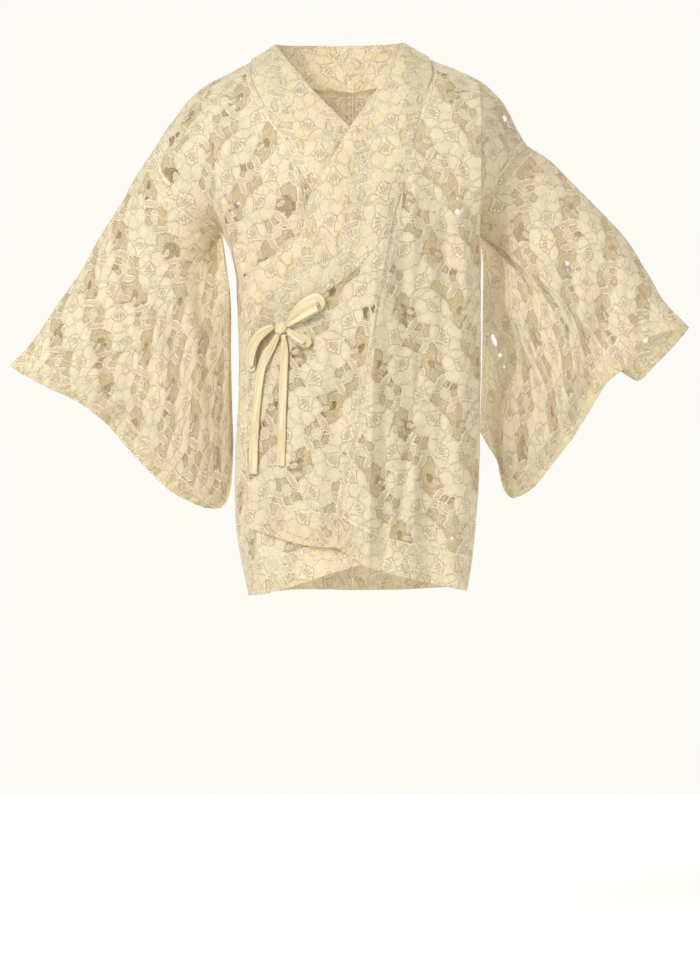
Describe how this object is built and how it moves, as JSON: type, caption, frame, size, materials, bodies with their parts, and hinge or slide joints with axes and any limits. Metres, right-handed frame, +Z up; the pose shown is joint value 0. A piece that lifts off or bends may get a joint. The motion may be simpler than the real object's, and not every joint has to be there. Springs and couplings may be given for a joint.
{
  "type": "lace kimono coat",
  "caption": "Hip-length crossover kimono coat of corded floral lace, worn shape, with wide open sleeves and a side tie.",
  "frame": {"origin": "on the shoulder line between the two neck points, where the wearer's shoulders hold the coat", "axes": "+Z up, the front faces -Y, +X towards the wearer's left sleeve"},
  "size_m": [1.057, 0.2647, 0.863],
  "materials": {
    "lace": "cream corded floral lace",
    "collar_lace": "cream corded lace, doubled",
    "ribbon": "soft plain cream crepe"
  },
  "bodies": {
    "root": {"front_left": "lace", "front_right": "lace", "overlap_left": "lace", "overlap_right": "lace", "back_left": "lace", "back_right": "lace", "sleeve_left_front": "lace", "sleeve_left_back": "lace", "sleeve_right_front": "lace", "sleeve_right_back": "lace", "collar_left": "collar_lace", "collar_right": "collar_lace", "collar_back": "collar_lace", "tie_knot": "ribbon", "tie_loop_upper": "ribbon", "tie_loop_lower": "ribbon", "tie_loop_left": "ribbon", "tie_tail_left": "ribbon", "tie_tail_right": "ribbon"}
  },
  "joints": []
}
